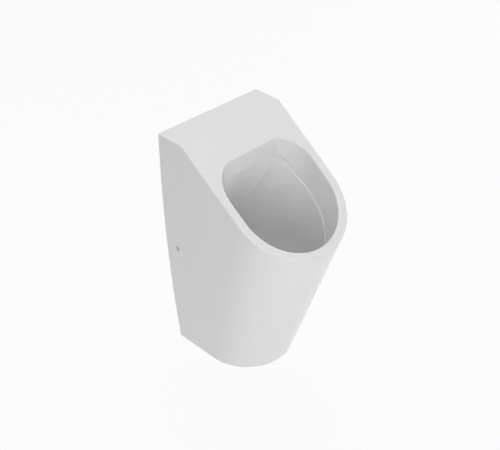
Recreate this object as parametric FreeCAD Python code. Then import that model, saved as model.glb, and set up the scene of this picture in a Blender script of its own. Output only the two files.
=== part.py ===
import FreeCAD, Part
import math
import os

Vector = FreeCAD.Vector

# Wall hung urinal with a slanted rim. Sizes are in millimetres. While the pieces are made, z is the
# height above the bottom edge, y = 0 is the wall and the front points towards -Y. Every piece is then
# lowered so that the origin lies on the wall, midway between the two hanger fixing holes.

# ---- outer shell of the ceramic ----
HEIGHT = 590.0            # bottom edge to flat top
TOP_WIDTH = 300.0
BOTTOM_WIDTH = 222.6
BOTTOM_DEPTH = 230.7      # wall to the foot of the front
FRONT_LEAN = 0.357        # how far the front comes forward for each mm of height
TOP_DEPTH = 74.0          # wall to the crease above the rim face
RIM_ANGLE = 35.4          # rim face above horizontal, degrees
CREASE_RADIUS = 6.0
RIM_OUTER_ROUND = 3.5
FOOT_ROUND = 2.0
OUTER_SECTIONS = 7

# ---- bowl ----
RIM_WIDTH = 22.0          # rim, and so the full wall beside the bowl
SKIN = 11.0               # single ceramic wall of the skirt and behind the bowl
SKIN_BITE = 3.0           # how far the bowl wall runs into the skirt wall
RIM_INNER_ROUND = 4.5
LIP_REACH = 136.6         # wall to the front of the lip under the flat part of the rim
LIP_DROP = 87.0           # flat top to the lip's lower edge
MOUTH_CORNER = 65.0       # plan radius of the two rear corners of the mouth
LIP_UNDERCUT = 10.0       # how far the bowl's back lies behind the lip, midway along it
UNDERCUT_START = 0.9      # share of the lip's straight half, from its middle, where that begins
UNDERCUT_FULL = 0.6       # share of it from which the back is fully behind the lip
BACK_DEEP_REACH = 88.0    # wall to the bowl's back at its deepest
BACK_DEEP_DROP = 163.0    # lip's lower edge to where the bowl's back is deepest
BOWL_FLOOR = 196.0
CUP_RISE = 78.0           # height over which the sides turn into the floor
FLOOR_HALF_WIDTH = 46.0
FLOOR_THICKNESS = 13.0
CUP_SECTIONS = 6
BOWL_SECTIONS = 9
SIDE_STRAIGHT_MIN = 6.0   # shortest straight between a rear corner and the half-round front

# ---- hollow head and its flush channel ----
HEAD_WALL = 15.0
DUCT_RADIUS = 4.0
DUCT_SIDESTEP = 12.0      # sideways from the channel's start to the duct's inner end
PORT_RADIUS = 6.0         # of the channel where it starts
PORT_LENGTH = 24.0
CHANNEL_RADIUS = 4.3
CHANNEL_LIFT = 1.3        # the channel's centre line in front of the bowl's surface
CHANNEL_START_RISE = 9.0    # above the lip's lower edge
CHANNEL_END_RISE = 31.0     # above the cup-shaped bottom of the bowl
CHANNEL_CORNER_FALL = 0.5   # share of the channel's fall made where the rear corner ends
CHANNEL_SIDE_FALL = 0.6     # share of it made where the straight side ends
CHANNEL_START_ANGLE = 84.0  # round the rear corner from the side, degrees
CHANNEL_END_ANGLE = 50.0    # round the front curve from the side, degrees
CHANNEL_STATIONS = 5        # on the rear corner, and as many on the front curve

# ---- drain ----
DRAIN_REACH = 174.0       # wall to the drain's axis
DRAIN_HOLE_RADIUS = 31.0
FLANGE_RADIUS = 37.4
RECESS_CLEARANCE = 0.6
RECESS_DEPTH = 5.0
GASKET = 1.5
FLANGE_THICKNESS = 3.0
TAIL_RADIUS = 29.0
TAIL_BORE = 23.0
TAIL_IN_NECK = 7.0        # how far the tail reaches into the trap's neck
COLLAR_SEAT_DEPTH = 24.0  # flange top to the seat of the dip tube's collar
COLLAR_BORE = 25.4
STRAINER_SEAT_DEPTH = 1.5
STRAINER_RADIUS = 33.0
STRAINER_DOME_RADIUS = 25.4
STRAINER_SHEET = 1.2
STRAINER_RISE = 6.0
STRAINER_HOLE_RADIUS = 1.7
STRAINER_RINGS = 3
STRAINER_RING_STEP = 6.2
STRAINER_INNER_RING = 9.4
KNOB_RADIUS = 5.0
KNOB_HEIGHT = 5.0
KNOB_ROUND = 1.0
KNOB_NECK_RADIUS = 3.0
KNOB_STEM_RADIUS = 2.0
KNOB_FOOT_RADIUS = 4.0
NUT_HEIGHT = 12.0
NUT_FLATS = 74.0          # across the flats of the flange nut
WASHER = 1.5
UNDER_GASKET = 3.0
UNDER_GASKET_RADIUS = 41.0

# ---- trap ----
OUTLET_HEIGHT = 106.0
WATER_SEAL = 50.0         # dip tube's end below the outlet's invert
BOTTLE_RADIUS = 41.0
BOTTLE_WALL = 3.0
NECK_RADIUS = 33.5
UNION_HEIGHT = 18.0
UNION_RADIUS = 40.0
UNION_TOP = 4.0
UNION_SEAL = 4.0
NECK_HEIGHT = 14.0
SHOULDER_HEIGHT = 6.0
SPIGOT_HEIGHT = 14.0
CUP_BOTTOM = 19.0
CUP_TOP = 64.0
CUP_RADIUS = 42.0
CUP_SEAL = 2.0
CUP_FOOT_ROUND = 6.0
CUP_INNER_ROUND = 3.0
CUP_PLAIN_FOOT = 9.0      # plain height below the cup's ribs
CUP_BORE_STEP = 1.5       # the cup's floor is this much wider than the spigot's bore
DIP_RADIUS = 22.0
DIP_WALL = 3.0
DIP_COLLAR = 3.0
RING_SECTION = 1.25       # radius of the sealing ring's cord
RING_DROP = 5.0           # collar seat to the middle of the sealing ring
GRIP_RIBS = 18
GRIP_RIB_HEIGHT = 1.2
GRIP_RIB_WIDTH = 4.0
GRIP_PLAIN_END = 2.0      # plain height between the ribs and a nut's closed end

# ---- outlet ----
PIPE_RADIUS = 25.0
PIPE_WALL = 2.0
PIPE_INTO_WALL = 45.0
PIPE_IN_SOCKET = 18.0
PIPE_BEAD = 2.5
PIPE_BEAD_WIDTH = 4.0
PIPE_BEAD_REACH = 4.0     # wall to the bead
PIPE_END_CHAMFER = 1.0
SOCKET_WALL = 3.2
SOCKET_LENGTH = 25.0
OUTLET_NUT_WALL = 6.0
OUTLET_NUT_LENGTH = 18.0
OUTLET_SEAL = 4.0

# ---- flush inlet ----
INLET_DROP = 45.0         # flat top to the inlet's axis
INLET_RADIUS = 16.0
INLET_WALL = 2.2
INLET_HOLE_RADIUS = 22.0
INLET_INTO_WALL = 26.0
INLET_INTO_HEAD = 40.0
INLET_BEAD = 3.0
INLET_BEAD_GAP = 1.5
INLET_END_CHAMFER = 1.1
SEAL_LIP = 2.5
SEAL_LIP_THICKNESS = 3.0

# ---- hangers ----
HANGER_SPACING = 170.0
HANGER_HOLE_DROP = 38.0   # lip's lower edge to the wall holes
HANGER_HOLE_RADIUS = 4.5
HANGER_WIDTH = 40.0
HANGER_SHEET = 4.0
HANGER_REACH = 50.0
HANGER_DROP = 64.0
HANGER_TOOTH = 10.0
HANGER_BEND = 6.0
HANGER_PAD = 2.0
SLOT_CLEARANCE = 3.0

# ---- side fixings ----
SIDE_HOLE_HEIGHT = 298.0
SIDE_HOLE_REACH = 36.0
SIDE_HOLE_RADIUS = 6.0
BRACKET_SHEET = 3.0
BRACKET_HEIGHT = 30.0
BRACKET_REACH = 52.0
BRACKET_SPACING = 210.0   # between the two brackets' wall holes
BRACKET_EDGE = 16.0       # wall hole to the end of the wall leg
BRACKET_HOLE_RADIUS = 4.5
BUSH_FLANGE = 1.6
BUSH_FLANGE_RADIUS = 9.0
BUSH_LENGTH = 6.8
SCREW_RADIUS = 3.0
SCREW_LENGTH = 22.0
SCREW_HEAD_RADIUS = 5.2
SCREW_HEAD = 3.5
SCREW_HEAD_ROUND = 0.9
SCREW_SOCKET_RADIUS = 2.2
SCREW_SOCKET_DEPTH = 2.0
SIDE_NUT = 5.0
SIDE_NUT_FLATS = 10.0

# ---- clearances ----
SLIP = 0.3                # between pieces that part by hand
SNUG = 0.05               # between pieces that are pushed or threaded together
OVERCUT = 1.0             # how far a cut runs past the face it opens

# ---- worked-out places ----
LIP_BOTTOM = HEIGHT - LIP_DROP
INLET_HEIGHT = HEIGHT - INLET_DROP
HANGER_HOLE_HEIGHT = LIP_BOTTOM - HANGER_HOLE_DROP
SLOPE = math.radians(RIM_ANGLE)
DRAIN = Vector(0, -DRAIN_REACH, 0)
UP = Vector(0, 0, 1)
TO_WALL = Vector(0, 1, 0)
ACROSS = Vector(1, 0, 0)
RECESS_FLOOR = BOWL_FLOOR - RECESS_DEPTH
FLANGE_BOTTOM = RECESS_FLOOR + GASKET
FLANGE_TOP = FLANGE_BOTTOM + FLANGE_THICKNESS
STRAINER_SEAT = FLANGE_TOP - STRAINER_SEAT_DEPTH
COLLAR_SEAT = FLANGE_TOP - COLLAR_SEAT_DEPTH
UNDERSIDE = BOWL_FLOOR - FLOOR_THICKNESS
NUT_TOP = UNDERSIDE - UNDER_GASKET - WASHER
UNION_TOP_HEIGHT = NUT_TOP - NUT_HEIGHT - SLIP
NECK_TOP = UNION_TOP_HEIGHT - UNION_TOP - UNION_SEAL
NECK_BOTTOM = NECK_TOP - NECK_HEIGHT
BOTTLE_TOP = NECK_BOTTOM - SHOULDER_HEIGHT
BOTTLE_BOTTOM = CUP_TOP + CUP_SEAL
SPIGOT_RADIUS = BOTTLE_RADIUS - BOTTLE_WALL
DIP_END = OUTLET_HEIGHT - PIPE_RADIUS + PIPE_WALL - WATER_SEAL
SOCKET_BORE = PIPE_RADIUS + SLIP
SOCKET_RADIUS = SOCKET_BORE + SOCKET_WALL
SOCKET_END = -DRAIN_REACH + BOTTLE_RADIUS + SOCKET_LENGTH
HEAD_CEILING = HEIGHT - HEAD_WALL
HEAD_FLOOR = LIP_BOTTOM + HEAD_WALL
PAD_TOP = LIP_BOTTOM
ARM_TOP = PAD_TOP - HANGER_PAD


def half_width(z):
    """Half the ceramic's width at a height; the sides narrow in a long curve towards the foot."""
    return TOP_WIDTH / 2 - (TOP_WIDTH - BOTTOM_WIDTH) / 2 * (1 - z / HEIGHT) ** 2


def depth(z):
    """Distance from the wall to the front at a height."""
    return BOTTOM_DEPTH + FRONT_LEAN * z


def arc(start, middle, end):
    return Part.Arc(start, middle, end).toShape()


def bezier(poles):
    curve = Part.BezierCurve()
    curve.setPoles(poles)
    return curve.toShape()


def plan_outline(z, half, front, rear, corner=0.0, bulge=0.0):
    """Level outline: straight sides, a half-round front and a back that is straight or bulges."""
    centre = front + half
    diagonal = math.sqrt(0.5)
    left, right = -half, half

    def at(x, y):
        return Vector(x, y, z)

    front_arcs = [
        arc(at(right, centre), at(half * diagonal, centre - half * diagonal), at(0, front)),
        arc(at(0, front), at(-half * diagonal, centre - half * diagonal), at(left, centre)),
    ]
    if corner == 0:
        back = Part.makeLine(at(left, rear), at(right, rear))
        right_side = Part.makeLine(at(right, rear), at(right, centre))
        left_side = Part.makeLine(at(left, centre), at(left, rear))
        return Part.Wire([back, right_side] + front_arcs + [left_side])
    inner = half - corner
    turn = rear - corner
    leg = corner * diagonal
    begins = inner * UNDERCUT_START
    full = inner * UNDERCUT_FULL
    deepest = rear + bulge
    return Part.Wire(
        [
            bezier([at(-inner, rear), at(-begins, rear), at(-full, deepest), at(0, deepest)]),
            bezier([at(0, deepest), at(full, deepest), at(begins, rear), at(inner, rear)]),
            arc(at(inner, rear), at(inner + leg, turn + leg), at(right, turn)),
            Part.makeLine(at(right, turn), at(right, centre)),
        ]
        + front_arcs
        + [
            Part.makeLine(at(left, centre), at(left, turn)),
            arc(at(left, turn), at(-inner - leg, turn + leg), at(-inner, rear)),
        ]
    )


def shell_outline(z, inset, rear, corner=0.0, bulge=0.0):
    """The outer shell's outline at a height, moved inwards by inset."""
    return plan_outline(z, half_width(z) - inset, inset - depth(z), rear, corner, bulge)


def loft(outlines):
    return Part.makeLoft(outlines, True, False)


def spread(first, last, count):
    return [first + (last - first) * i / (count - 1) for i in range(count)]


def shell_loft(bottom, top, inset, rear):
    return loft([shell_outline(z, inset, rear) for z in spread(bottom, top, OUTER_SECTIONS)])


def cylinder(radius, start, end, centre=DRAIN, axis=UP):
    """Cylinder along an axis, from start to end measured along it."""
    return Part.makeCylinder(radius, end - start, centre + axis * start, axis)


def ring(outer, inner, start, end, centre=DRAIN, axis=UP):
    bore = cylinder(inner, start - OVERCUT, end + OVERCUT, centre, axis)
    return cylinder(outer, start, end, centre, axis).cut(bore)


def block(x0, x1, y0, y1, z0, z1):
    return Part.makeBox(x1 - x0, y1 - y0, z1 - z0, Vector(x0, y0, z0))


def prism_across(points, x0, x1):
    """A side profile, given as (y, z) corners, pushed out from x0 to x1."""
    corners = [Vector(x0, y, z) for y, z in points]
    return Part.Face(Part.makePolygon(corners + corners[:1])).extrude(Vector(x1 - x0, 0, 0))


def hexagon(flats, start, end, centre, axis):
    """Hexagonal bar along X or Z."""
    reach = flats / math.sqrt(3)
    other = axis.cross(TO_WALL)
    corners = []
    for angle in [math.radians(60 * i) for i in range(6)]:
        spoke = TO_WALL * math.cos(angle) + other * math.sin(angle)
        corners.append(centre + axis * start + spoke * reach)
    return Part.Face(Part.makePolygon(corners + corners[:1])).extrude(axis * (end - start))


def mirrored(shape):
    return shape.mirror(Vector(0, 0, 0), Vector(1, 0, 0))


def middle_of(edge):
    return edge.valueAt((edge.FirstParameter + edge.LastParameter) / 2)


# ---- ceramic ----


def face_height(y):
    """Height of the rim face at a distance in front of the wall."""
    return HEIGHT - (-y - TOP_DEPTH) * math.tan(SLOPE)


def top_envelope():
    """Everything in front of the wall and below the flat top and the rim face, with a round crease."""
    tangent = CREASE_RADIUS * math.tan(SLOPE / 2)
    down_slope = Vector(0, -math.cos(SLOPE), -math.sin(SLOPE))
    crease = Vector(-TOP_WIDTH, -TOP_DEPTH, HEIGHT)
    on_top = crease + Vector(0, tangent, 0)
    on_slope = crease + down_slope * tangent
    centre = on_top - UP * CREASE_RADIUS
    half_turn = Vector(0, -math.sin(SLOPE / 2), math.cos(SLOPE / 2))
    far = crease + down_slope * HEIGHT
    at_wall = Vector(-TOP_WIDTH, 0, HEIGHT)
    below = -TOP_DEPTH
    profile = Part.Wire(
        [
            Part.makeLine(at_wall, on_top),
            arc(on_top, centre + half_turn * CREASE_RADIUS, on_slope),
            Part.makeLine(on_slope, far),
            Part.makeLine(far, Vector(far.x, far.y, below)),
            Part.makeLine(Vector(far.x, far.y, below), Vector(far.x, 0, below)),
            Part.makeLine(Vector(far.x, 0, below), at_wall),
        ]
    )
    return Part.Face(profile).extrude(Vector(2 * TOP_WIDTH, 0, 0))


def inset_from_side(point):
    """How far inside the outer wall a point lies."""
    centre = half_width(point.z) - depth(point.z)
    if point.y > centre:
        return half_width(point.z) - abs(point.x)
    return half_width(point.z) - math.hypot(point.x, point.y - centre)


def below_top(point):
    """How far under the flat top or the rim face a point lies."""
    off_slope = (face_height(point.y) - point.z) * math.cos(SLOPE)
    return min(HEIGHT - point.z, off_slope)


def outer_form():
    """Solid outer shape with its top edges and foot edge rounded."""
    body = shell_loft(0, HEIGHT, 0, OVERCUT).common(top_envelope()).Solids[0]
    clear_of_wall = -RIM_OUTER_ROUND / 2
    rim = []
    for edge in body.Edges:
        point = middle_of(edge)
        on_corner = inset_from_side(point) < SLIP and below_top(point) < OVERCUT
        if on_corner and point.y < clear_of_wall:
            rim.append(edge)
    body = body.makeFillet(RIM_OUTER_ROUND, rim)
    foot = [e for e in body.Edges if middle_of(e).z < SNUG and middle_of(e).y < clear_of_wall]
    return body.makeFillet(FOOT_ROUND, foot)


def back_share(z):
    """How far the bowl's back has come from the lip to its deepest place, eased, from 0 to 1."""
    share = min(max((LIP_BOTTOM - z) / BACK_DEEP_DROP, 0), 1)
    return share ** 2 * (3 - 2 * share)


def back_reach(z):
    """Distance from the wall to the bowl's back beside its rear corners."""
    return LIP_REACH - (LIP_REACH - BACK_DEEP_REACH) * back_share(z)


def side_turn(z):
    """Where the straight side ends and the rear corner begins."""
    return max(-LIP_REACH - MOUTH_CORNER, half_width(z) - depth(z) + SIDE_STRAIGHT_MIN)


def rear_corner(z, inset, rear):
    """Plan radius of the bowl's rear corners, limited where the two would meet."""
    return min(rear - side_turn(z), half_width(z) - inset - SIDE_STRAIGHT_MIN)


def bowl_outline(z, inset, behind):
    rear = -back_reach(z) + behind
    corner = rear_corner(z, inset, rear)
    return shell_outline(z, inset, rear, corner, LIP_UNDERCUT * (1 - back_share(z)))


def bowl_form(inset, behind, under, top):
    """The bowl's hollow, or with a smaller inset the outside of its wall."""
    cup_top = BOWL_FLOOR + CUP_RISE
    floor = BOWL_FLOOR - under
    start = half_width(cup_top) - inset
    front_start = inset - depth(cup_top)
    rear_start = -back_reach(cup_top) + behind
    corner_start = rear_corner(cup_top, inset, rear_start)
    half_end = FLOOR_HALF_WIDTH + under
    front_end = -DRAIN_REACH - half_end
    rear_end = -DRAIN_REACH + FLOOR_HALF_WIDTH + behind
    corner_end = half_end - SIDE_STRAIGHT_MIN
    outlines = []
    for turn in spread(math.pi / 2, 0, CUP_SECTIONS):
        share = 1 - math.cos(turn)
        outlines.append(
            plan_outline(
                cup_top - (cup_top - floor) * math.sin(turn),
                start + (half_end - start) * share,
                front_start + (front_end - front_start) * share,
                rear_start + (rear_end - rear_start) * share,
                corner_start + (corner_end - corner_start) * share,
            )
        )
    for z in spread(cup_top, top, BOWL_SECTIONS)[1:]:
        outlines.append(bowl_outline(z, inset, behind))
    return loft(outlines)


def mouth_form():
    """The hollow between the bowl and the rim face, in front of the lip."""
    outlines = []
    for z in spread(LIP_BOTTOM, HEIGHT, OUTER_SECTIONS):
        outlines.append(shell_outline(z, RIM_WIDTH, -LIP_REACH, -LIP_REACH - side_turn(z)))
    return loft(outlines)


def skirt_form():
    """The space behind and below the bowl, open at the back and at the foot."""
    space = shell_loft(-SKIN, LIP_BOTTOM, SKIN, SKIN)
    return space.cut(bowl_form(SKIN - SKIN_BITE, SKIN, FLOOR_THICKNESS, LIP_BOTTOM + SKIN))


def chamber_form():
    """Closed flush chamber inside the head."""
    side = half_width(HEAD_FLOOR) - HEAD_WALL
    front = -LIP_REACH + HEAD_WALL
    drop = HEAD_WALL / math.cos(SLOPE)
    profile = [
        (-HEAD_WALL, HEAD_FLOOR),
        (-HEAD_WALL, HEAD_CEILING),
        (-TOP_DEPTH, HEAD_CEILING),
        (front, face_height(front) - drop),
        (front, HEAD_FLOOR),
    ]
    return prism_across(profile, -side, side)


def channel_points():
    """Centre line of the channel: down round the +X rear corner, along the side, round the front."""
    start = LIP_BOTTOM + CHANNEL_START_RISE
    fall = start - (BOWL_FLOOR + CUP_RISE + CHANNEL_END_RISE)
    points = []
    for share in spread(0, 1, CHANNEL_STATIONS):
        z = start - fall * CHANNEL_CORNER_FALL * share
        rear = -back_reach(z)
        radius = rear_corner(z, RIM_WIDTH, rear)
        centre = Vector(half_width(z) - RIM_WIDTH - radius, rear - radius, z)
        angle = math.radians(CHANNEL_START_ANGLE * (1 - share))
        outwards = Vector(math.cos(angle), math.sin(angle), 0)
        points.append(centre + outwards * (radius - CHANNEL_LIFT))
    for share in spread(0, 1, CHANNEL_STATIONS):
        z = start - fall * (CHANNEL_SIDE_FALL + (1 - CHANNEL_SIDE_FALL) * share)
        centre = Vector(0, half_width(z) - depth(z), z)
        angle = math.radians(-CHANNEL_END_ANGLE * share)
        outwards = Vector(math.cos(angle), math.sin(angle), 0)
        points.append(centre + outwards * (half_width(z) - RIM_WIDTH - CHANNEL_LIFT))
    return points


def channel_form():
    """The flush channel: a round groove along the inner wall, fed by a duct from the head."""
    points = channel_points()
    curve = Part.BSplineCurve()
    curve.interpolate(points)
    start = points[0]
    heading = curve.tangent(curve.FirstParameter)[0]
    profile = Part.Wire([Part.makeCircle(CHANNEL_RADIUS, start, heading)])
    groove = Part.Wire([curve.toShape()]).makePipeShell([profile], True, False)
    port = Part.makeCone(PORT_RADIUS, CHANNEL_RADIUS - SLIP, PORT_LENGTH, start, points[1] - start)
    duct_y = -LIP_REACH + HEAD_WALL + DUCT_RADIUS
    inside = Vector(start.x - DUCT_SIDESTEP, duct_y, HEAD_FLOOR + DUCT_RADIUS)
    duct = Part.makeCylinder(DUCT_RADIUS, (start - inside).Length, inside, start - inside)
    return [groove, port, duct]


def hanger_slots():
    """Slots in the head's underside that the hangers' teeth stand in."""
    half = HANGER_WIDTH / 2 + SLOT_CLEARANCE
    tooth_front = -HANGER_REACH - SLOT_CLEARANCE
    tooth_back = -HANGER_REACH + HANGER_SHEET + SLOT_CLEARANCE
    bottom = LIP_BOTTOM - OVERCUT
    top = LIP_BOTTOM + HANGER_TOOTH
    slots = []
    for x in (-HANGER_SPACING / 2, HANGER_SPACING / 2):
        slots.append(block(x - half, x + half, tooth_front, tooth_back, bottom, top))
    return slots


def ceramic_body():
    body = outer_form()
    body = body.cut(skirt_form())
    body = body.cut(bowl_form(RIM_WIDTH, 0, 0, LIP_BOTTOM).fuse(mouth_form()))
    rim = []
    for edge in body.Edges:
        point = middle_of(edge)
        on_face = below_top(point) < SNUG and point.y < -TOP_DEPTH - CREASE_RADIUS
        if on_face and inset_from_side(point) > RIM_WIDTH / 2:
            rim.append(edge)
    body = body.makeFillet(RIM_INNER_ROUND, rim)
    cuts = channel_form() + [
        chamber_form(),
        cylinder(SIDE_HOLE_RADIUS, -TOP_WIDTH, TOP_WIDTH, side_axis(), ACROSS),
        cylinder(INLET_HOLE_RADIUS, -HEAD_WALL - OVERCUT, OVERCUT, inlet_axis(), TO_WALL),
        cylinder(FLANGE_RADIUS + RECESS_CLEARANCE, RECESS_FLOOR, BOWL_FLOOR + OVERCUT),
        cylinder(DRAIN_HOLE_RADIUS, UNDERSIDE - OVERCUT, BOWL_FLOOR),
    ]
    for cut in cuts + hanger_slots():
        body = body.cut(cut)
    return body


# ---- drain ----


def waste_flange():
    flange = cylinder(FLANGE_RADIUS, FLANGE_BOTTOM, FLANGE_TOP)
    tail_end = NECK_TOP - TAIL_IN_NECK
    solid = flange.fuse(cylinder(TAIL_RADIUS, tail_end, FLANGE_BOTTOM))
    solid = solid.cut(cylinder(TAIL_BORE, tail_end - OVERCUT, COLLAR_SEAT))
    solid = solid.cut(cylinder(COLLAR_BORE, COLLAR_SEAT, FLANGE_TOP + OVERCUT))
    return solid.cut(cylinder(STRAINER_RADIUS + SLIP, STRAINER_SEAT, FLANGE_TOP + OVERCUT))


def flange_gasket():
    return ring(FLANGE_RADIUS - SLIP, TAIL_RADIUS + SLIP, RECESS_FLOOR, FLANGE_BOTTOM)


def underside_gasket():
    return ring(UNDER_GASKET_RADIUS, TAIL_RADIUS + SLIP, UNDERSIDE - UNDER_GASKET, UNDERSIDE)


def slip_washer():
    return ring(UNDER_GASKET_RADIUS - SLIP, TAIL_RADIUS + SLIP, NUT_TOP, NUT_TOP + WASHER)


def flange_nut():
    solid = hexagon(NUT_FLATS, NUT_TOP - NUT_HEIGHT, NUT_TOP, DRAIN, UP)
    solid = solid.common(cylinder(UNDER_GASKET_RADIUS, NUT_TOP - NUT_HEIGHT, NUT_TOP))
    bore = cylinder(TAIL_RADIUS + SNUG, NUT_TOP - NUT_HEIGHT - OVERCUT, NUT_TOP + OVERCUT)
    return solid.cut(bore)


def dome_cap(radius, rise, base):
    """Cap of a sphere on a level base circle."""
    sphere_radius = (radius ** 2 + rise ** 2) / (2 * rise)
    ball = Part.makeSphere(sphere_radius, DRAIN + UP * (base + rise - sphere_radius))
    return ball.common(cylinder(radius, base, base + 2 * rise))


def strainer():
    """Domed sheet with a flat rim and rings of drain holes."""
    dome_radius = STRAINER_DOME_RADIUS
    top = STRAINER_SEAT + STRAINER_SHEET
    below = STRAINER_SEAT - OVERCUT
    above = top + STRAINER_RISE + OVERCUT
    rim = cylinder(STRAINER_RADIUS, STRAINER_SEAT, top)
    dome = dome_cap(dome_radius + STRAINER_SHEET, STRAINER_RISE, top - STRAINER_SHEET / 2)
    solid = rim.fuse(dome)
    solid = solid.cut(dome_cap(dome_radius, STRAINER_RISE - STRAINER_SHEET / 2, STRAINER_SEAT))
    for ring_number in range(STRAINER_RINGS):
        radius = STRAINER_INNER_RING + ring_number * STRAINER_RING_STEP
        count = int(2 * math.pi * radius / STRAINER_RING_STEP)
        for i in range(count):
            angle = 2 * math.pi * i / count
            spot = DRAIN + Vector(radius * math.cos(angle), radius * math.sin(angle), 0)
            solid = solid.cut(cylinder(STRAINER_HOLE_RADIUS, below, above, spot))
    return solid.cut(cylinder(KNOB_STEM_RADIUS + SNUG, below, above))


def strainer_knob():
    """Button riveted through the strainer's middle, which lifts it out."""
    sheet_top = STRAINER_SEAT + STRAINER_SHEET / 2 + STRAINER_RISE
    sheet_bottom = STRAINER_SEAT + STRAINER_RISE - STRAINER_SHEET / 2
    foot_top = sheet_bottom - SLIP
    foot_bottom = foot_top - STRAINER_SHEET
    neck_top = sheet_top + KNOB_HEIGHT / 2
    button = cylinder(KNOB_RADIUS, neck_top, neck_top + KNOB_HEIGHT / 2)
    button = button.makeFillet(KNOB_ROUND, button.Edges)
    foot = cylinder(KNOB_FOOT_RADIUS, foot_bottom, foot_top)
    neck = cylinder(KNOB_NECK_RADIUS, sheet_top + SNUG, neck_top)
    stem = cylinder(KNOB_STEM_RADIUS, foot_bottom, neck_top)
    return button.fuse(foot).fuse(neck).fuse(stem).removeSplitter()


def dip_tube():
    """Removable inner tube of the trap, hung by its collar in the waste flange."""
    solid = ring(DIP_RADIUS, DIP_RADIUS - DIP_WALL, DIP_END, COLLAR_SEAT + DIP_COLLAR)
    collar = ring(COLLAR_BORE - SLIP, DIP_RADIUS - DIP_WALL, COLLAR_SEAT, COLLAR_SEAT + DIP_COLLAR)
    solid = solid.fuse(collar).removeSplitter()
    groove_bottom = sealing_ring_height() - RING_SECTION
    groove_top = sealing_ring_height() + RING_SECTION
    groove_radius = sealing_ring_middle() - RING_SECTION
    return solid.cut(ring(DIP_RADIUS + OVERCUT, groove_radius, groove_bottom, groove_top))


def sealing_ring_height():
    return COLLAR_SEAT - RING_DROP


def sealing_ring_middle():
    return TAIL_BORE - SNUG - RING_SECTION


def dip_tube_ring():
    centre = DRAIN + UP * sealing_ring_height()
    return Part.makeTorus(sealing_ring_middle(), RING_SECTION, centre, UP)


# ---- trap ----


def grip_ribs(radius, start, end, centre, axis):
    """Upright ribs round a nut or cup, for turning it by hand."""
    ribs = []
    for i in range(GRIP_RIBS):
        rib = Part.makeBox(2 * GRIP_RIB_HEIGHT, GRIP_RIB_WIDTH, end - start)
        rib.translate(Vector(radius - GRIP_RIB_HEIGHT, -GRIP_RIB_WIDTH / 2, start))
        rib.rotate(Vector(0, 0, 0), UP, 360.0 * i / GRIP_RIBS)
        if axis.z == 0:
            rib.rotate(Vector(0, 0, 0), ACROSS, -90)
        rib.translate(centre)
        ribs.append(rib)
    return ribs


def with_ribs(solid, radius, start, end, centre=DRAIN, axis=UP):
    for rib in grip_ribs(radius, start, end, centre, axis):
        solid = solid.fuse(rib)
    return solid.removeSplitter()


def union_nut():
    bottom = UNION_TOP_HEIGHT - UNION_HEIGHT
    rib_base = UNION_RADIUS - GRIP_RIB_HEIGHT
    solid = cylinder(rib_base, bottom, UNION_TOP_HEIGHT)
    solid = with_ribs(solid, rib_base, bottom, UNION_TOP_HEIGHT - GRIP_PLAIN_END)
    solid = solid.cut(cylinder(NECK_RADIUS + SNUG, bottom - OVERCUT, UNION_TOP_HEIGHT - UNION_TOP))
    return solid.cut(cylinder(TAIL_RADIUS + SLIP, bottom, UNION_TOP_HEIGHT + OVERCUT))


def union_seal():
    return ring(NECK_RADIUS - SLIP, TAIL_RADIUS + SNUG, NECK_TOP, NECK_TOP + UNION_SEAL)


def trap_body():
    """Bottle with a neck on top, a screw spigot below and an outlet socket towards the wall."""
    outlet = DRAIN + UP * OUTLET_HEIGHT
    neck_bore = TAIL_RADIUS + SLIP
    shoulder_base = DRAIN + UP * BOTTLE_TOP
    shoulder = Part.makeCone(BOTTLE_RADIUS, NECK_RADIUS, SHOULDER_HEIGHT, shoulder_base)
    solid = cylinder(BOTTLE_RADIUS, BOTTLE_BOTTOM, BOTTLE_TOP).fuse(shoulder)
    solid = solid.fuse(cylinder(NECK_RADIUS, NECK_BOTTOM, NECK_TOP))
    solid = solid.fuse(cylinder(SPIGOT_RADIUS, BOTTLE_BOTTOM - SPIGOT_HEIGHT, BOTTLE_BOTTOM))
    solid = solid.fuse(cylinder(SOCKET_RADIUS, 0, BOTTLE_RADIUS + SOCKET_LENGTH, outlet, TO_WALL))
    socket_end = BOTTLE_RADIUS + SOCKET_LENGTH + OVERCUT
    solid = solid.cut(cylinder(SOCKET_BORE, 0, socket_end, outlet, TO_WALL))
    bottle_floor = BOTTLE_BOTTOM + BOTTLE_WALL
    hollow = cylinder(SPIGOT_RADIUS, bottle_floor, BOTTLE_TOP)
    hollow = hollow.fuse(Part.makeCone(SPIGOT_RADIUS, neck_bore, SHOULDER_HEIGHT, shoulder_base))
    hollow = hollow.fuse(cylinder(neck_bore, NECK_BOTTOM, NECK_TOP + OVERCUT))
    spigot_bottom = BOTTLE_BOTTOM - SPIGOT_HEIGHT - OVERCUT
    hollow = hollow.fuse(cylinder(SPIGOT_RADIUS - BOTTLE_WALL, spigot_bottom, bottle_floor))
    return solid.cut(hollow)


def cup_seal():
    return ring(BOTTLE_RADIUS, SPIGOT_RADIUS + SLIP, CUP_TOP, BOTTLE_BOTTOM)


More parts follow.
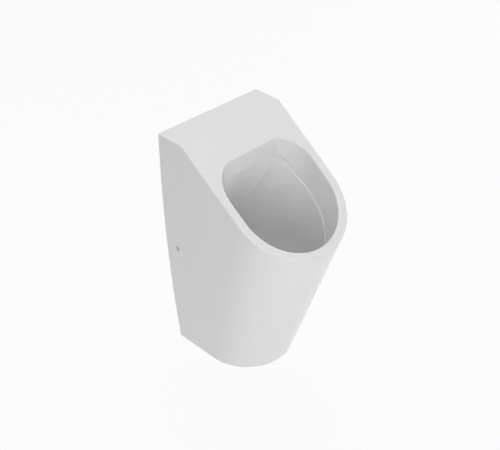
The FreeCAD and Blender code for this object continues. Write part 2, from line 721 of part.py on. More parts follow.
def trap_cup():
    """Cleaning cup screwed on from below."""
    rib_base = CUP_RADIUS - GRIP_RIB_HEIGHT
    solid = cylinder(rib_base, CUP_BOTTOM, CUP_TOP)
    foot = [e for e in solid.Edges if middle_of(e).z < CUP_BOTTOM + SNUG]
    solid = solid.makeFillet(CUP_FOOT_ROUND, foot)
    rib_start = CUP_BOTTOM + CUP_PLAIN_FOOT
    solid = with_ribs(solid, rib_base, rib_start, CUP_TOP - GRIP_PLAIN_END)
    thread_bottom = BOTTLE_BOTTOM - SPIGOT_HEIGHT - CUP_SEAL
    solid = solid.cut(cylinder(SPIGOT_RADIUS + SLIP, thread_bottom, CUP_TOP + OVERCUT))
    floor = CUP_BOTTOM + BOTTLE_WALL
    hollow = cylinder(SPIGOT_RADIUS - BOTTLE_WALL + CUP_BORE_STEP, floor, thread_bottom)
    corner = [e for e in hollow.Edges if middle_of(e).z < floor + SNUG]
    return solid.cut(hollow.makeFillet(CUP_INNER_ROUND, corner))


# ---- outlet ----


def outlet_axis():
    return Vector(0, 0, OUTLET_HEIGHT)


def outlet_seal():
    outer = SOCKET_RADIUS - SLIP
    inner = PIPE_RADIUS + SNUG
    return ring(outer, inner, SOCKET_END, SOCKET_END + OUTLET_SEAL, outlet_axis(), TO_WALL)


def outlet_nut():
    seat = SOCKET_END + OUTLET_SEAL
    end = seat + UNION_TOP
    start = end - OUTLET_NUT_LENGTH
    rib_base = SOCKET_RADIUS + OUTLET_NUT_WALL - GRIP_RIB_HEIGHT
    rib_end = end - GRIP_PLAIN_END
    solid = cylinder(rib_base, start, end, outlet_axis(), TO_WALL)
    solid = with_ribs(solid, rib_base, start, rib_end, outlet_axis(), TO_WALL)
    socket_bore = cylinder(SOCKET_RADIUS + SNUG, start - OVERCUT, seat, outlet_axis(), TO_WALL)
    pipe_bore = cylinder(PIPE_RADIUS + SLIP, start, end + OVERCUT, outlet_axis(), TO_WALL)
    return solid.cut(socket_bore).cut(pipe_bore)


def outlet_pipe():
    start = SOCKET_END - PIPE_IN_SOCKET
    bead_end = -PIPE_BEAD_REACH
    bead_start = bead_end - PIPE_BEAD_WIDTH
    solid = cylinder(PIPE_RADIUS, start, PIPE_INTO_WALL, outlet_axis(), TO_WALL)
    bead = cylinder(PIPE_RADIUS + PIPE_BEAD, bead_start, bead_end, outlet_axis(), TO_WALL)
    solid = solid.fuse(bead)
    end_edge = [e for e in solid.Edges if middle_of(e).y > PIPE_INTO_WALL - SNUG]
    solid = solid.makeChamfer(PIPE_END_CHAMFER, end_edge)
    bore_radius = PIPE_RADIUS - PIPE_WALL
    bore_end = PIPE_INTO_WALL + OVERCUT
    return solid.cut(cylinder(bore_radius, start - OVERCUT, bore_end, outlet_axis(), TO_WALL))


# ---- flush inlet ----


def inlet_axis():
    return Vector(0, 0, INLET_HEIGHT)


def inlet_pipe():
    solid = cylinder(INLET_RADIUS, -INLET_INTO_HEAD, INLET_INTO_WALL, inlet_axis(), TO_WALL)
    bead_end = INLET_BEAD_GAP + INLET_BEAD
    bead_radius = INLET_RADIUS + INLET_BEAD
    solid = solid.fuse(cylinder(bead_radius, INLET_BEAD_GAP, bead_end, inlet_axis(), TO_WALL))
    end_edge = [e for e in solid.Edges if middle_of(e).y > INLET_INTO_WALL - SNUG]
    solid = solid.makeChamfer(INLET_END_CHAMFER, end_edge)
    bore_start = -INLET_INTO_HEAD - OVERCUT
    bore_end = INLET_INTO_WALL + OVERCUT
    bore_radius = INLET_RADIUS - INLET_WALL
    return solid.cut(cylinder(bore_radius, bore_start, bore_end, inlet_axis(), TO_WALL))


def inlet_seal():
    """Rubber sleeve in the head's rear hole, with a lip inside the chamber that holds it."""
    lip_end = -HEAD_WALL - SNUG
    lip_start = lip_end - SEAL_LIP_THICKNESS
    sleeve = cylinder(INLET_HOLE_RADIUS - SNUG, lip_start, -SLIP, inlet_axis(), TO_WALL)
    lip = cylinder(INLET_HOLE_RADIUS + SEAL_LIP, lip_start, lip_end, inlet_axis(), TO_WALL)
    solid = sleeve.fuse(lip).removeSplitter()
    return solid.cut(cylinder(INLET_RADIUS + SNUG, lip_start - OVERCUT, 0, inlet_axis(), TO_WALL))


# ---- hangers ----


def wall_hanger(x):
    """Bent steel hook: a plate on the wall, an arm under the head and a tooth in the head's slot."""
    plate_bottom = ARM_TOP - HANGER_DROP
    arm_bottom = ARM_TOP - HANGER_SHEET
    tooth_top = LIP_BOTTOM + HANGER_TOOTH - SLOT_CLEARANCE
    profile = [
        (0, plate_bottom),
        (0, ARM_TOP),
        (-HANGER_REACH + HANGER_SHEET, ARM_TOP),
        (-HANGER_REACH + HANGER_SHEET, tooth_top),
        (-HANGER_REACH, tooth_top),
        (-HANGER_REACH, arm_bottom),
        (-HANGER_SHEET, arm_bottom),
        (-HANGER_SHEET, plate_bottom),
    ]
    solid = prism_across(profile, x - HANGER_WIDTH / 2, x + HANGER_WIDTH / 2)
    inner_bend = [
        e for e in solid.Edges
        if abs(middle_of(e).y + HANGER_SHEET) < SNUG and abs(middle_of(e).z - arm_bottom) < SNUG
    ]
    solid = solid.makeFillet(HANGER_BEND, inner_bend)
    spot = Vector(x, 0, HANGER_HOLE_HEIGHT)
    return solid.cut(cylinder(HANGER_HOLE_RADIUS, -2 * HANGER_SHEET, OVERCUT, spot, TO_WALL))


def hanger_pads():
    """Soft pads between the hangers' arms and the ceramic."""
    pads = []
    for x in (-HANGER_SPACING / 2, HANGER_SPACING / 2):
        half = HANGER_WIDTH / 2
        back = -HANGER_SHEET
        front = -HANGER_REACH + HANGER_SHEET + SLOT_CLEARANCE
        pads.append(block(x - half, x + half, front, back, ARM_TOP, PAD_TOP))
    return Part.makeCompound(pads)


# ---- side fixings, made for the +X side ----


def side_wall_inside():
    """The ceramic's inner side face at the lower edge of the bush's flange."""
    return half_width(SIDE_HOLE_HEIGHT - BUSH_FLANGE_RADIUS) - SKIN - SNUG


def side_axis():
    return Vector(0, -SIDE_HOLE_REACH, SIDE_HOLE_HEIGHT)


def bush_start():
    return side_wall_inside() - BUSH_FLANGE


def side_bracket():
    """Angle that stands off the wall just inside the ceramic's side."""
    outer = bush_start()
    bottom = SIDE_HOLE_HEIGHT - BRACKET_HEIGHT / 2
    top = SIDE_HOLE_HEIGHT + BRACKET_HEIGHT / 2
    side_leg = block(outer - BRACKET_SHEET, outer, -BRACKET_REACH, 0, bottom, top)
    hole_x = BRACKET_SPACING / 2
    wall_leg = block(hole_x - BRACKET_EDGE, outer, -BRACKET_SHEET, 0, bottom, top)
    solid = side_leg.fuse(wall_leg).removeSplitter()
    hole_start = outer - 2 * BRACKET_SHEET
    screw_hole = cylinder(SCREW_RADIUS + SLIP, hole_start, outer + OVERCUT, side_axis(), ACROSS)
    spot = Vector(hole_x, 0, SIDE_HOLE_HEIGHT)
    wall_hole = cylinder(BRACKET_HOLE_RADIUS, -2 * BRACKET_SHEET, OVERCUT, spot, TO_WALL)
    return solid.cut(screw_hole).cut(wall_hole)


def side_bush():
    start = bush_start()
    end = start + BUSH_LENGTH
    flange = cylinder(BUSH_FLANGE_RADIUS, start, start + BUSH_FLANGE, side_axis(), ACROSS)
    tube = cylinder(SIDE_HOLE_RADIUS - SNUG, start, end, side_axis(), ACROSS)
    bore = cylinder(SCREW_RADIUS + SLIP, start - OVERCUT, end + OVERCUT, side_axis(), ACROSS)
    return flange.fuse(tube).removeSplitter().cut(bore)


def side_screw():
    seat = bush_start() + BUSH_LENGTH
    shank = cylinder(SCREW_RADIUS, seat - SCREW_LENGTH, seat, side_axis(), ACROSS)
    head = cylinder(SCREW_HEAD_RADIUS, seat, seat + SCREW_HEAD, side_axis(), ACROSS)
    outer_edge = [e for e in head.Edges if middle_of(e).x > seat + SCREW_HEAD - SNUG]
    head = head.makeFillet(SCREW_HEAD_ROUND, outer_edge)
    solid = head.fuse(shank).removeSplitter()
    flats = SCREW_SOCKET_RADIUS * math.sqrt(3)
    end = seat + SCREW_HEAD
    return solid.cut(hexagon(flats, end - SCREW_SOCKET_DEPTH, end + OVERCUT, side_axis(), ACROSS))


def side_nut():
    end = bush_start() - BRACKET_SHEET
    solid = hexagon(SIDE_NUT_FLATS, end - SIDE_NUT, end, side_axis(), ACROSS)
    bore_start = end - SIDE_NUT - OVERCUT
    return solid.cut(cylinder(SCREW_RADIUS + SNUG, bore_start, end + OVERCUT, side_axis(), ACROSS))


def both_sides(shape):
    return Part.makeCompound([shape, mirrored(shape)])


def make_pieces():
    right_hanger = HANGER_SPACING / 2
    return {
        "ceramic_body": ceramic_body(),
        "waste_flange": waste_flange(),
        "flange_gasket": flange_gasket(),
        "underside_gasket": underside_gasket(),
        "slip_washer": slip_washer(),
        "flange_nut": flange_nut(),
        "strainer": strainer(),
        "strainer_knob": strainer_knob(),
        "dip_tube": dip_tube(),
        "dip_tube_ring": dip_tube_ring(),
        "union_nut": union_nut(),
        "union_seal": union_seal(),
        "trap_body": trap_body(),
        "cup_seal": cup_seal(),
        "trap_cup": trap_cup(),
        "outlet_seal": outlet_seal(),
        "outlet_nut": outlet_nut(),
        "outlet_pipe": outlet_pipe(),
        "inlet_pipe": inlet_pipe(),
        "inlet_seal": inlet_seal(),
        "wall_hanger_left": wall_hanger(-right_hanger),
        "wall_hanger_right": wall_hanger(right_hanger),
        "hanger_pads": hanger_pads(),
        "side_bracket_left": mirrored(side_bracket()),
        "side_bracket_right": side_bracket(),
        "side_bushes": both_sides(side_bush()),
        "side_screws": both_sides(side_screw()),
        "side_nuts": both_sides(side_nut()),
    }


def main():
    os.makedirs("parts", exist_ok=True)
    for name, shape in make_pieces().items():
        shape.translate(Vector(0, 0, -HANGER_HOLE_HEIGHT))
        solids = ", ".join(f"{solid.Volume / 1000:.2f}" for solid in shape.Solids)
        print(f"{name}: valid {shape.isValid()}, cm3 {solids}")
        shape.exportStep(f"parts/{name}.step")


if __name__ == "__main__":
    main()
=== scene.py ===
"""Looks of a wall hung urinal: its glaze, metals, plastics and rubber, and the stage."""

import math

import bpy
from bpy.props import FloatProperty, FloatVectorProperty, PointerProperty
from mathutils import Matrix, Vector


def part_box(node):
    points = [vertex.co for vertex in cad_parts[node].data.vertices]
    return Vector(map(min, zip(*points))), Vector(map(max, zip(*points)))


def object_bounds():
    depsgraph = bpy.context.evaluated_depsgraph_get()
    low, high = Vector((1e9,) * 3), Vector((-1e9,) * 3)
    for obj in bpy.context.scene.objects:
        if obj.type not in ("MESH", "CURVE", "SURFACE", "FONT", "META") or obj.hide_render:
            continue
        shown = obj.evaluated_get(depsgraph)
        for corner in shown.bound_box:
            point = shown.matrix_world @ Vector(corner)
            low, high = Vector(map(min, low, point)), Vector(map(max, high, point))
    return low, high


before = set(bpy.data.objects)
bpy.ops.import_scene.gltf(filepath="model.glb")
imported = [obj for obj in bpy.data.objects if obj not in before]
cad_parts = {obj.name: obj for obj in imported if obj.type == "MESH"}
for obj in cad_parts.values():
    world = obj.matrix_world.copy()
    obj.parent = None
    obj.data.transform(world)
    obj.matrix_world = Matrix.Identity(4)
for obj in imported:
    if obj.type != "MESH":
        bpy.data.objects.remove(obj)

bl_info = {
    "name": "Wall hung urinal",
    "version": (1, 0, 0),
    "blender": (4, 5, 0),
    "location": "View3D > Sidebar > Urinal",
    "description": "Finishes the pieces of a wall hung urinal and sets its stage",
    "category": "Object",
}

CAD_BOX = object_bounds()
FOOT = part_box("ceramic_body")[0].z
MIDDLE = (CAD_BOX[0] + CAD_BOX[1]) / 2
DRAIN_LOW, DRAIN_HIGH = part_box("waste_flange")
DRAIN = (DRAIN_LOW + DRAIN_HIGH) / 2
WHITE = (1.0, 1.0, 1.0, 1.0)


# ---- sizes and colours a user would change ----


class GlazeLook(bpy.types.PropertyGroup):
    """The white glaze and the bare clay under it."""

    colour: FloatVectorProperty(
        name="Glaze", description="Colour of the glaze", subtype="COLOR",
        default=(0.80, 0.80, 0.80), min=0.0, max=1.0,
    )
    clay: FloatVectorProperty(
        name="Clay", description="Colour of the ground, unglazed wall face and foot", subtype="COLOR",
        default=(0.74, 0.72, 0.68), min=0.0, max=1.0,
    )
    roughness: FloatProperty(
        name="Roughness", description="Roughness of the glaze", subtype="FACTOR",
        default=0.22, min=0.0, max=1.0,
    )
    wave: FloatProperty(
        name="Wave", description="Height of the glaze's slow waves", unit="LENGTH",
        default=0.00012, min=0.0, max=0.001, precision=5,
    )
    bare_depth: FloatProperty(
        name="Bare edge", description="How far the bare clay reaches in from the wall and the foot",
        unit="LENGTH", default=0.0012, min=0.0, max=0.01, precision=4,
    )


class MetalLook(bpy.types.PropertyGroup):
    """Chromed, brass, stainless and zinc plated pieces."""

    chrome: FloatVectorProperty(
        name="Chrome", description="Colour of the chromed pieces", subtype="COLOR",
        default=(0.80, 0.81, 0.82), min=0.0, max=1.0,
    )
    brass: FloatVectorProperty(
        name="Brass", description="Colour of the turned brass", subtype="COLOR",
        default=(0.74, 0.56, 0.27), min=0.0, max=1.0,
    )
    stainless: FloatVectorProperty(
        name="Stainless", description="Colour of the brushed strainer", subtype="COLOR",
        default=(0.66, 0.66, 0.65), min=0.0, max=1.0,
    )
    zinc: FloatVectorProperty(
        name="Zinc", description="Colour of the zinc plated steel", subtype="COLOR",
        default=(0.60, 0.62, 0.65), min=0.0, max=1.0,
    )
    brush_pitch: FloatProperty(
        name="Brush pitch", description="Distance between brushed or turned lines", unit="LENGTH",
        default=0.0003, min=0.0001, max=0.005, precision=5,
    )


class PlasticLook(bpy.types.PropertyGroup):
    """Moulded plastic and rubber pieces."""

    white: FloatVectorProperty(
        name="White plastic", description="Colour of the trap, its nuts and washer", subtype="COLOR",
        default=(0.80, 0.80, 0.78), min=0.0, max=1.0,
    )
    grey: FloatVectorProperty(
        name="Grey plastic", description="Colour of the pipe and the dip tube", subtype="COLOR",
        default=(0.34, 0.35, 0.36), min=0.0, max=1.0,
    )
    dark: FloatVectorProperty(
        name="Dark plastic", description="Colour of the side bushes", subtype="COLOR",
        default=(0.06, 0.06, 0.065), min=0.0, max=1.0,
    )
    rubber: FloatVectorProperty(
        name="Rubber", description="Colour of the seals and pads", subtype="COLOR",
        default=(0.035, 0.035, 0.035), min=0.0, max=1.0,
    )
    grain: FloatProperty(
        name="Grain", description="Size of the moulded grain", unit="LENGTH",
        default=0.0006, min=0.0001, max=0.01, precision=5,
    )


class StageLook(bpy.types.PropertyGroup):
    """Camera, floor, room light and lamps."""

    camera_place: FloatVectorProperty(
        name="Camera", description="Place of the camera", subtype="TRANSLATION",
        unit="LENGTH", default=(-1.465, -1.6278, 1.310),
    )
    camera_aim: FloatVectorProperty(
        name="Aim", description="Direction the camera looks in", subtype="DIRECTION",
        default=(0.5773, 0.5900, -0.5645),
    )
    lens: FloatProperty(
        name="Lens", description="Focal length for a 36 mm wide sensor", subtype="DISTANCE_CAMERA",
        default=79.50, min=10.0, max=400.0,
    )
    floor_drop: FloatProperty(
        name="Floor drop", description="From the urinal's foot down to the floor", unit="LENGTH",
        default=0.25, min=0.0, max=2.0,
    )
    floor_size: FloatProperty(
        name="Floor size", description="Width of the floor", unit="LENGTH",
        default=16.0, min=1.0, max=60.0,
    )
    floor_colour: FloatVectorProperty(
        name="Floor", description="Colour of the floor", subtype="COLOR",
        default=(0.90, 0.90, 0.90), min=0.0, max=1.0,
    )
    room: FloatProperty(
        name="Room light", description="Strength of the even light from all round",
        default=0.304, min=0.0, max=2.0,
    )
    top: FloatProperty(
        name="Top lamp", description="Power of the wide lamp overhead", unit="POWER",
        default=34.0, min=0.0, max=1000.0,
    )
    front: FloatProperty(
        name="Front lamp", description="Power of the wide lamp at the front left", unit="POWER",
        default=33.0, min=0.0, max=1000.0,
    )
    low: FloatProperty(
        name="Low lamp", description="Power of the narrower, low lamp in front", unit="POWER",
        default=12.0, min=0.0, max=1000.0,
    )
    side: FloatProperty(
        name="Side lamp", description="Power of the wide lamp at the right", unit="POWER",
        default=33.0, min=0.0, max=1000.0,
    )
    back: FloatProperty(
        name="Back lamp", description="Power of the wide lamp high behind", unit="POWER",
        default=16.0, min=0.0, max=1000.0,
    )


# ---- shader maths ----


# How ragged a noise is, as the Detail of its texture.
SMOOTH = 1.0
PLAIN = 2.0
CLOUDY = 3.0
STAINED = 4.0

# Where a Mix node that is set to colours has its sockets.
MIX_SHARE = 0
MIX_FIRST = 6
MIX_SECOND = 7
MIX_RESULT = 2


class Value:
    """An output of a node. Arithmetic on one that is a number adds Math nodes."""

    def __init__(self, socket):
        self.socket = socket

    def math(self, operation, *terms):
        tree = self.socket.id_data
        node = tree.nodes.new("ShaderNodeMath")
        node.operation = operation
        for term, socket in zip(terms, node.inputs):
            join(tree, term, socket)
        return Value(node.outputs[0])

    def __add__(self, other):
        return self.math("ADD", self, other)

    __radd__ = __add__

    def __sub__(self, other):
        return self.math("SUBTRACT", self, other)

    def __rsub__(self, other):
        return self.math("SUBTRACT", other, self)

    def __mul__(self, other):
        return self.math("MULTIPLY", self, other)

    __rmul__ = __mul__

    def maximum(self, other):
        return self.math("MAXIMUM", self, other)

    def wave(self):
        """Its sine, brought to go from 0 to 1."""
        return self.math("SINE", self) * 0.5 + 0.5

    def beside(self, name):
        """Another output of the same node."""
        return Value(self.socket.node.outputs[name])


def join(tree, value, socket):
    """Links a Value to a socket, or sets the socket to a number or colour."""
    if isinstance(value, Value):
        tree.links.new(value.socket, socket)
    else:
        socket.default_value = value


def colour(value):
    """Colour with an alpha, or a Value left as it is."""
    if isinstance(value, Value):
        return value
    return (*value, 1.0)


def shaded(value, share):
    """A colour made darker or lighter by a share."""
    return tuple(min(1.0, part * share) for part in value)


class Nodes:
    """A node tree being put together."""

    def __init__(self, tree):
        self.tree = tree
        self.tree.nodes.clear()

    def node(self, kind, settings=None, sockets=None, output=0):
        """Adds a node: its settings first, then its sockets' values or links. Gives one output."""
        node = self.tree.nodes.new(kind)
        for name, value in (settings or {}).items():
            setattr(node, name, value)
        for name, value in (sockets or {}).items():
            join(self.tree, value, node.inputs[name])
        return Value(node.outputs[output]) if node.outputs else None

    def white_to_camera(self):
        """1 for rays from the camera and for those seen in gloss or through glass."""
        camera = self.node("ShaderNodeLightPath", output="Is Camera Ray")
        gloss = camera.beside("Is Glossy Ray")
        return camera.maximum(gloss).maximum(camera.beside("Is Transmission Ray"))


class Finish(Nodes):
    """A material being put together."""

    def __init__(self, name):
        self.material = bpy.data.materials.new(name)
        self.material.use_nodes = True
        super().__init__(self.material.node_tree)
        self.place = self.node("ShaderNodeTexCoord", output="Object")

    def noise(self, width, detail=PLAIN, stretch=(1, 1, 1)):
        """Soft noise whose features are about width across, from 0 to 1."""
        place = self.node("ShaderNodeMapping", sockets={"Vector": self.place, "Scale": stretch})
        sockets = {"Vector": place, "Scale": 1 / width, "Detail": detail}
        return self.node("ShaderNodeTexNoise", sockets=sockets)

    def ramp(self, value, low, high):
        """0 below low, 1 above high and smooth between."""
        settings = {"interpolation_type": "SMOOTHSTEP"}
        sockets = {"Value": value, "From Min": low, "From Max": high}
        return self.node("ShaderNodeMapRange", settings, sockets)

    def blend(self, share, first, second):
        """A colour between two colours."""
        sockets = {MIX_SHARE: share, MIX_FIRST: colour(first), MIX_SECOND: colour(second)}
        return self.node("ShaderNodeMix", {"data_type": "RGBA"}, sockets, MIX_RESULT)

    def vector(self, operation, *terms, output="Vector"):
        """Vector Math on places."""
        sockets = dict(enumerate(terms))
        return self.node("ShaderNodeVectorMath", {"operation": operation}, sockets, output)

    def off_centre(self, centre):
        """Distance from the upright line through a point, in metres."""
        from_centre = self.vector("SUBTRACT", self.place, tuple(centre))
        across = self.vector("MULTIPLY", from_centre, (1.0, 1.0, 0.0))
        return self.vector("LENGTH", across, output="Value")

    def part(self, letter):
        """One coordinate of the place on the surface, in metres."""
        return self.node("ShaderNodeSeparateXYZ", sockets={"Vector": self.place}, output=letter)

    def bump(self, marks, height, under=None):
        """Marks raised to a height in metres, on top of another bump if one is given."""
        sockets = {"Height": marks, "Distance": height}
        if under is not None:
            sockets["Normal"] = under
        return self.node("ShaderNodeBump", sockets=sockets)

    def surface(self, sockets):
        """Ends the material in its shader."""
        shader = self.node("ShaderNodeBsdfPrincipled", sockets=sockets)
        self.node("ShaderNodeOutputMaterial", sockets={"Surface": shader})
        return self.material


# ---- finishes ----


# Widths and heights are in metres. A shade is what the patches make the colour darker or
# lighter by, and a duller value is what they add to the roughness.

GLAZE_CLOUD_WIDTH = 0.12
GLAZE_CLOUD_SHADE = 0.985
GLAZE_WAVE_WIDTH = 0.035
GLAZE_PEEL_WIDTH = 0.0035
GLAZE_PEEL_SHARE = 0.04
GLAZE_SMEAR_WIDTH = 0.05
GLAZE_SMEAR_DULLER = 0.04
GLAZE_COAT = 0.2
GLAZE_COAT_ROUGHNESS = 0.06
CLAY_SPECKLE_WIDTH = 0.0009
CLAY_SPECKLE_SHADE = 0.92
CLAY_DULLER = 0.45

CHROME_CLOUD_WIDTH = 0.02
CHROME_CLOUD_SHADE = 0.96
CHROME_CLOUD_DULLER = 0.06
CHROME_ROUGHNESS = 0.07
BUFFING_WIDTH = 0.004
BUFFING_STRETCH = (1, 1, 9)
BUFFING_HEIGHT = 0.00002

TURNED_STAIN_WIDTH = 0.012
TURNED_STAIN_SHADE = 0.86
TURNED_STAIN_DULLER = 0.14
TURNED_ROUGHNESS = 0.24
TURNED_RING_HEIGHT = 0.00002

ZINC_BLOOM_WIDTH = 0.009
ZINC_BLOOM_SHADE = 0.88
ZINC_BLOOM_DULLER = 0.16
ZINC_ROUGHNESS = 0.30
ROLLED_WIDTH = 0.0012
ROLLED_STRETCH = (1, 1, 0.06)
ROLLED_HEIGHT = 0.00003

PLASTIC_FLOW_WIDTH = 0.03
PLASTIC_FLOW_SHADE = 0.95
PLASTIC_GRAIN_DULLER = 0.08
PLASTIC_GRAIN_HEIGHT = 0.00003
TRAP_ROUGHNESS = 0.32
DIP_TUBE_ROUGHNESS = 0.38
PIPE_ROUGHNESS = 0.45
BUSH_ROUGHNESS = 0.5

RUBBER_DUST_WIDTH = 0.006
RUBBER_DUST_SHADE = 1.9
RUBBER_DUST_DULLER = 0.16
RUBBER_ROUGHNESS = 0.62
RUBBER_GRAIN_HEIGHT = 0.00005

FLOOR_CLOUD_WIDTH = 0.4
FLOOR_CLOUD_SHADE = 0.99
FLOOR_ROUGHNESS = 0.6
FLOOR_GLOW = 0.9


def glazed_ceramic(look):
    """White glaze with slow waves, bare ground clay on the wall face and the foot."""
    finish = Finish("white_glaze")
    reach = look.bare_depth
    near_wall = finish.ramp(finish.part("Y"), -reach, -reach / 2)
    near_foot = finish.ramp(finish.part("Z") * -1, -FOOT - reach, -FOOT - reach / 2)
    bare = near_wall.maximum(near_foot)
    cloud = finish.noise(GLAZE_CLOUD_WIDTH, CLOUDY)
    glaze = finish.blend(cloud, shaded(look.colour, GLAZE_CLOUD_SHADE), look.colour)
    speckle = finish.noise(CLAY_SPECKLE_WIDTH, SMOOTH)
    clay = finish.blend(speckle, shaded(look.clay, CLAY_SPECKLE_SHADE), look.clay)
    slow = finish.bump(finish.noise(GLAZE_WAVE_WIDTH, SMOOTH), look.wave)
    peel = finish.noise(GLAZE_PEEL_WIDTH, SMOOTH)
    smear = finish.noise(GLAZE_SMEAR_WIDTH)
    return finish.surface(
        {
            "Base Color": finish.blend(bare, glaze, clay),
            "Roughness": look.roughness + smear * GLAZE_SMEAR_DULLER + bare * CLAY_DULLER,
            "Coat Weight": GLAZE_COAT * (1 - bare),
            "Coat Roughness": GLAZE_COAT_ROUGHNESS,
            "Normal": finish.bump(peel, look.wave * GLAZE_PEEL_SHARE, under=slow),
        }
    )


def polished_chrome(look):
    """Chrome plate with faint buffing marks."""
    finish = Finish("polished_chrome")
    cloud = finish.noise(CHROME_CLOUD_WIDTH, CLOUDY)
    buffing = finish.noise(BUFFING_WIDTH, stretch=BUFFING_STRETCH)
    return finish.surface(
        {
            "Base Color": finish.blend(cloud, shaded(look.chrome, CHROME_CLOUD_SHADE), look.chrome),
            "Metallic": 1.0,
            "Roughness": CHROME_ROUGHNESS + cloud * CHROME_CLOUD_DULLER,
            "Normal": finish.bump(buffing, BUFFING_HEIGHT),
        }
    )


def turned_metal(name, tone, pitch):
    """Metal with fine rings from the lathe, round the upright middle line of the drain."""
    finish = Finish(name)
    tool_marks = (finish.off_centre(DRAIN) + finish.part("Z")) * (math.tau / pitch)
    stain = finish.noise(TURNED_STAIN_WIDTH, STAINED)
    return finish.surface(
        {
            "Base Color": finish.blend(stain, shaded(tone, TURNED_STAIN_SHADE), tone),
            "Metallic": 1.0,
            "Roughness": TURNED_ROUGHNESS + stain * TURNED_STAIN_DULLER,
            "Normal": finish.bump(tool_marks.wave(), TURNED_RING_HEIGHT),
        }
    )


def zinc_plate(look):
    """Zinc plated sheet with a faint, cloudy bloom."""
    finish = Finish("zinc_plate")
    bloom = finish.noise(ZINC_BLOOM_WIDTH, STAINED)
    rolled = finish.noise(ROLLED_WIDTH, stretch=ROLLED_STRETCH)
    return finish.surface(
        {
            "Base Color": finish.blend(bloom, shaded(look.zinc, ZINC_BLOOM_SHADE), look.zinc),
            "Metallic": 1.0,
            "Roughness": ZINC_ROUGHNESS + bloom * ZINC_BLOOM_DULLER,
            "Normal": finish.bump(rolled, ROLLED_HEIGHT),
        }
    )


def moulded_plastic(name, tone, grain_width, roughness):
    """Injection moulded plastic with a fine grain."""
    finish = Finish(name)
    grain = finish.noise(grain_width)
    flow = finish.noise(PLASTIC_FLOW_WIDTH)
    return finish.surface(
        {
            "Base Color": finish.blend(flow, shaded(tone, PLASTIC_FLOW_SHADE), tone),
            "Roughness": roughness + grain * PLASTIC_GRAIN_DULLER,
            "Normal": finish.bump(grain, PLASTIC_GRAIN_HEIGHT),
        }
    )


def matt_rubber(look):
    """Black rubber with a paler, dusty bloom."""
    finish = Finish("matt_rubber")
    dust = finish.noise(RUBBER_DUST_WIDTH, STAINED)
    grain = finish.noise(look.grain)
    return finish.surface(
        {
            "Base Color": finish.blend(dust, look.rubber, shaded(look.rubber, RUBBER_DUST_SHADE)),
            "Roughness": RUBBER_ROUGHNESS + dust * RUBBER_DUST_DULLER,
            "Normal": finish.bump(grain, RUBBER_GRAIN_HEIGHT),
        }
    )


def pale_floor(look):
    """Pale floor that shows white to the camera and keeps a soft shadow."""
    finish = Finish("pale_floor")
    cloud = finish.noise(FLOOR_CLOUD_WIDTH)
    tone = finish.blend(cloud, shaded(look.floor_colour, FLOOR_CLOUD_SHADE), look.floor_colour)
    matt = finish.node("ShaderNodeBsdfDiffuse", sockets={"Color": tone, "Roughness": FLOOR_ROUGHNESS})
    glow = finish.node("ShaderNodeEmission", sockets={"Color": WHITE, "Strength": 1.0})
    share = finish.white_to_camera() * FLOOR_GLOW
    shader = finish.node("ShaderNodeMixShader", sockets=dict(enumerate((share, matt, glow))))
    finish.node("ShaderNodeOutputMaterial", sockets={"Surface": shader})
    return finish.material


# ---- one operator for each piece or group of like pieces ----


def dress(material, *nodes):
    """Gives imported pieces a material."""
    for node in nodes:
        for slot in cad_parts[node].material_slots:
            slot.material = material


class URINAL_OT_ceramic(bpy.types.Operator):
    """Glaze the ceramic body"""

    bl_idname = "urinal.ceramic"
    bl_label = "Ceramic body"

    def execute(self, context):
        dress(glazed_ceramic(context.scene.urinal_glaze), "ceramic_body")
        return {"FINISHED"}


class URINAL_OT_drain(bpy.types.Operator):
    """Finish the waste flange, its nut, the strainer, the dip tube and the flush inlet pipe"""

    bl_idname = "urinal.drain"
    bl_label = "Drain and inlet"

    def execute(self, context):
        metal = context.scene.urinal_metal
        plastic = context.scene.urinal_plastic
        dress(polished_chrome(metal), "waste_flange", "inlet_pipe")
        dress(turned_metal("turned_brass", metal.brass, metal.brush_pitch), "flange_nut")
        brushed = turned_metal("brushed_stainless", metal.stainless, metal.brush_pitch)
        dress(brushed, "strainer", "strainer_knob")
        tube = moulded_plastic("grey_dip_tube", plastic.grey, plastic.grain, DIP_TUBE_ROUGHNESS)
        dress(tube, "dip_tube")
        return {"FINISHED"}


class URINAL_OT_trap(bpy.types.Operator):
    """Finish the bottle trap, its nuts, cup and outlet pipe, and the slip washer"""

    bl_idname = "urinal.trap"
    bl_label = "Trap and outlet pipe"

    def execute(self, context):
        look = context.scene.urinal_plastic
        white = moulded_plastic("white_trap", look.white, look.grain, TRAP_ROUGHNESS)
        dress(white, "trap_body", "trap_cup", "union_nut", "outlet_nut", "slip_washer")
        dress(moulded_plastic("grey_pipe", look.grey, look.grain, PIPE_ROUGHNESS), "outlet_pipe")
        return {"FINISHED"}


class URINAL_OT_seals(bpy.types.Operator):
    """Finish the rubber seals and pads"""

    bl_idname = "urinal.seals"
    bl_label = "Seals and pads"

    def execute(self, context):
        seals = [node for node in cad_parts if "seal" in node or "gasket" in node]
        dress(matt_rubber(context.scene.urinal_plastic), *seals, "dip_tube_ring", "hanger_pads")
        return {"FINISHED"}


class URINAL_OT_fixings(bpy.types.Operator):
    """Finish the hangers, side brackets, screws, nuts and bushes"""

    bl_idname = "urinal.fixings"
    bl_label = "Hangers and fixings"

    def execute(self, context):
        sheet = [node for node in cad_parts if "wall_hanger" in node or "side_bracket" in node]
        dress(zinc_plate(context.scene.urinal_metal), *sheet, "side_screws", "side_nuts")
        look = context.scene.urinal_plastic
        dress(moulded_plastic("dark_bush", look.dark, look.grain, BUSH_ROUGHNESS), "side_bushes")
        return {"FINISHED"}


# ---- stage ----


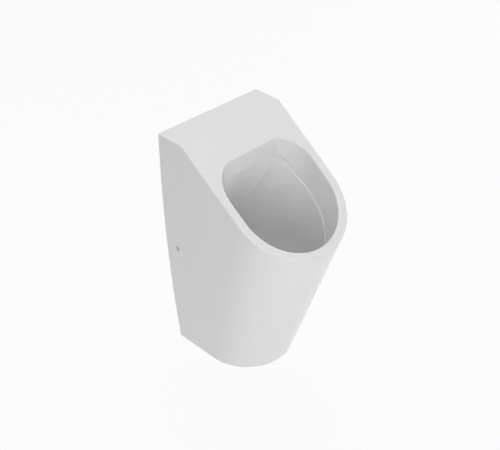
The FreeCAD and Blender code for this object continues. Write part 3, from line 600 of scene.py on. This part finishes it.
# Name, place and width of each lamp, in metres. The stage's setting of that name is its power.
LAMPS = (
    ("top", (0.0, -0.2, 3.05), 2.4),
    ("front", (-2.165, -2.365, 0.778), 2.4),
    ("low", (0.0, -3.37, -0.1), 1.2),
    ("side", (3.15, -0.2, 0.6), 2.4),
    ("back", (0.0, 2.063, 2.113), 2.4),
)
SENSOR_WIDTH = 36.0  # millimetres


def make_world(look):
    """Even light from all round, white where the camera sees it."""
    world = bpy.data.worlds.new("room")
    bpy.context.scene.world = world
    world.use_nodes = True
    room = Nodes(world.node_tree)
    strength = look.room + room.white_to_camera() * (1 - look.room)
    light = room.node("ShaderNodeBackground", sockets={"Color": WHITE, "Strength": strength})
    room.node("ShaderNodeOutputWorld", sockets={"Surface": light})


def make_floor(look):
    """A square floor below the urinal's foot."""
    half = look.floor_size / 2
    height = FOOT - look.floor_drop
    corners = [(x * half, y * half, height) for x, y in ((-1, -1), (1, -1), (1, 1), (-1, 1))]
    mesh = bpy.data.meshes.new("floor")
    mesh.from_pydata(corners, [], [(0, 1, 2, 3)])
    mesh.materials.append(pale_floor(look))
    floor = bpy.data.objects.new("floor", mesh)
    bpy.context.scene.collection.objects.link(floor)


def put(name, data, place, aim):
    """Puts a lamp or a camera at a place, turned to look along aim."""
    holder = bpy.data.objects.new(name, data)
    holder.location = place
    holder.rotation_mode = "QUATERNION"
    holder.rotation_quaternion = aim.to_track_quat("-Z", "Y")
    bpy.context.scene.collection.objects.link(holder)
    return holder


def make_lamp(name, place, width, power):
    """A round lamp that shines on the middle of the urinal."""
    lamp = bpy.data.lights.new(name, "AREA")
    lamp.shape = "DISK"
    lamp.size = width
    lamp.energy = power
    put(name, lamp, place, MIDDLE - Vector(place))


def make_camera(look):
    """The camera that shows the urinal from the front left and above."""
    view = bpy.data.cameras.new("camera")
    view.sensor_width = SENSOR_WIDTH
    view.lens = look.lens
    bpy.context.scene.camera = put("camera", view, look.camera_place, Vector(look.camera_aim))


class URINAL_OT_stage(bpy.types.Operator):
    """Set the room light, the pale floor, the lamps and the camera"""

    bl_idname = "urinal.stage"
    bl_label = "Stage"

    def execute(self, context):
        look = context.scene.urinal_stage
        make_world(look)
        make_floor(look)
        for name, place, width in LAMPS:
            make_lamp(f"{name}_lamp", place, width, getattr(look, name))
        make_camera(look)
        context.scene.view_settings.view_transform = "Standard"
        return {"FINISHED"}


# ---- add-on ----


class URINAL_PT_panel(bpy.types.Panel):
    """Lists the steps that finish the urinal, and their sizes and colours."""

    bl_label = "Wall hung urinal"
    bl_idname = "URINAL_PT_panel"
    bl_space_type = "VIEW_3D"
    bl_region_type = "UI"
    bl_category = "Urinal"

    def draw(self, context):
        for step in STEPS:
            self.layout.operator(step.bl_idname)
        for group in LOOKS:
            settings = getattr(context.scene, group)
            box = self.layout.box()
            for name in settings.bl_rna.properties.keys():
                if name not in ("rna_type", "name"):
                    box.prop(settings, name)


STEPS = (
    URINAL_OT_ceramic,
    URINAL_OT_drain,
    URINAL_OT_trap,
    URINAL_OT_seals,
    URINAL_OT_fixings,
    URINAL_OT_stage,
)
LOOKS = {
    "urinal_glaze": GlazeLook,
    "urinal_metal": MetalLook,
    "urinal_plastic": PlasticLook,
    "urinal_stage": StageLook,
}
CLASSES = (*LOOKS.values(), *STEPS, URINAL_PT_panel)


def register():
    for kind in CLASSES:
        bpy.utils.register_class(kind)
    for name, kind in LOOKS.items():
        setattr(bpy.types.Scene, name, PointerProperty(type=kind))


def unregister():
    for name in LOOKS:
        delattr(bpy.types.Scene, name)
    for kind in reversed(CLASSES):
        bpy.utils.unregister_class(kind)


def main():
    register()
    bpy.ops.urinal.ceramic()
    bpy.ops.urinal.drain()
    bpy.ops.urinal.trap()
    bpy.ops.urinal.seals()
    bpy.ops.urinal.fixings()
    bpy.ops.urinal.stage()


if __name__ == "__main__":
    main()
